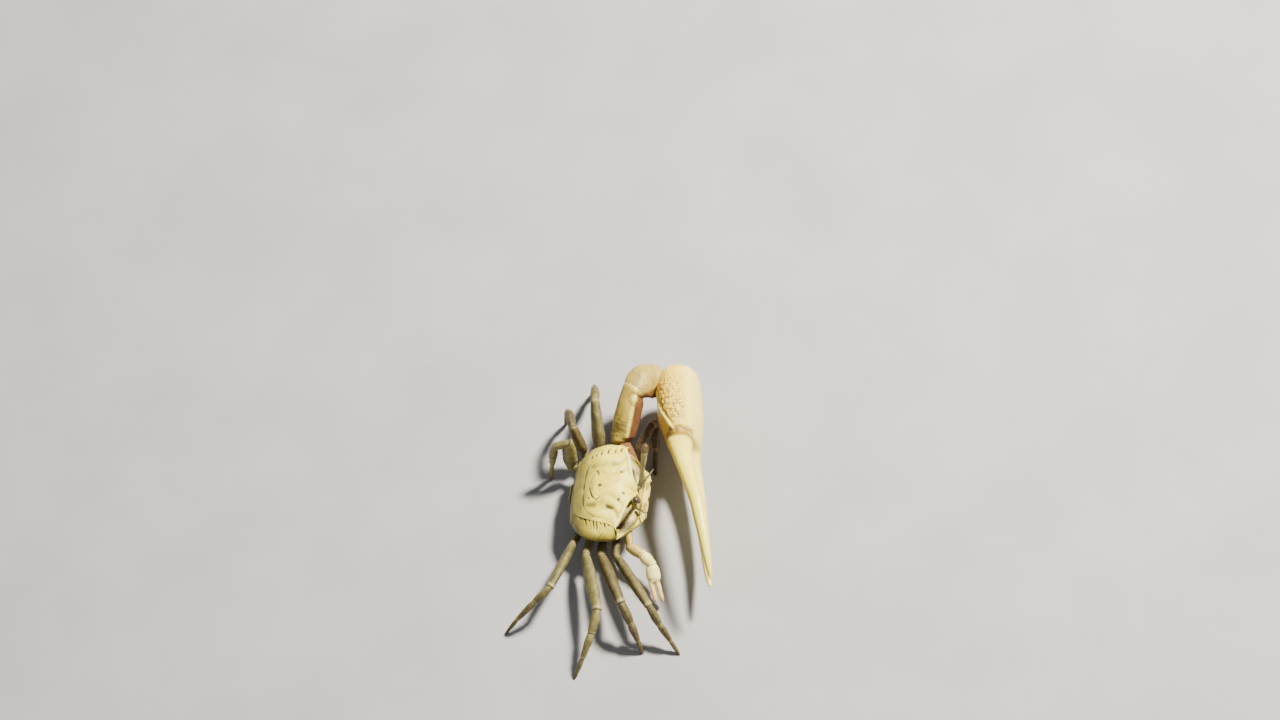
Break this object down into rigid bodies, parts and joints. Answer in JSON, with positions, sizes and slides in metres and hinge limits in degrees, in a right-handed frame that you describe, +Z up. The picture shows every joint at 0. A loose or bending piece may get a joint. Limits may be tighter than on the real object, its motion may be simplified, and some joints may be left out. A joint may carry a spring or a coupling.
{
  "type": "fiddler crab model",
  "caption": "Life-size still model of a male fiddler crab, standing with its great left claw folded across the front.",
  "frame": {"origin": "middle of the underside of the whole animal's box, on the floor the feet stand on", "axes": "+Z up; the crab faces -Y and its left side, with the great claw, is +X"},
  "size_m": [0.1032, 0.0632, 0.0289],
  "materials": {
    "shell": "satin, grooved and pitted",
    "underside": "matt",
    "leg": "satin, mottled",
    "leg_joint": "satin, mottled",
    "claw": "satin, granular on the outer face",
    "finger": "satin, smooth",
    "small_claw": "satin",
    "stalk": "satin",
    "cornea": "glossy",
    "mouth": "satin",
    "setae": "matt"
  },
  "bodies": {
    "root": {"abdomen": "underside", "antenna_left": "stalk", "antenna_right": "stalk", "carapace": "shell", "eye_left": "cornea", "eye_right": "cornea", "eyestalk_left": "stalk", "eyestalk_right": "stalk", "great_claw_carpus": "claw", "great_claw_dactyl": "finger", "great_claw_merus": "claw", "great_claw_palm": "claw", "leg_left_2_carpus": "leg_joint", "leg_left_2_dactyl": "leg", "leg_left_2_merus": "leg", "leg_left_2_propodus": "leg", "leg_left_3_carpus": "leg_joint", "leg_left_3_dactyl": "leg", "leg_left_3_merus": "leg", "leg_left_3_propodus": "leg", "leg_left_4_carpus": "leg_joint", "leg_left_4_dactyl": "leg", "leg_left_4_merus": "leg", "leg_left_4_propodus": "leg", "leg_left_5_carpus": "leg_joint", "leg_left_5_dactyl": "leg", "leg_left_5_merus": "leg", "leg_left_5_propodus": "leg", "leg_right_2_carpus": "leg_joint", "leg_right_2_dactyl": "leg", "leg_right_2_merus": "leg", "leg_right_2_propodus": "leg", "leg_right_3_carpus": "leg_joint", "leg_right_3_dactyl": "leg", "leg_right_3_merus": "leg", "leg_right_3_propodus": "leg", "leg_right_4_carpus": "leg_joint", "leg_right_4_dactyl": "leg", "leg_right_4_merus": "leg", "leg_right_4_propodus": "leg", "leg_right_5_carpus": "leg_joint", "leg_right_5_dactyl": "leg", "leg_right_5_merus": "leg", "leg_right_5_propodus": "leg", "maxilliped_left": "mouth", "maxilliped_right": "mouth", "small_claw_carpus": "small_claw", "small_claw_dactyl": "small_claw", "small_claw_merus": "small_claw", "small_claw_palm": "small_claw", "trunk": "underside"}
  },
  "joints": []
}
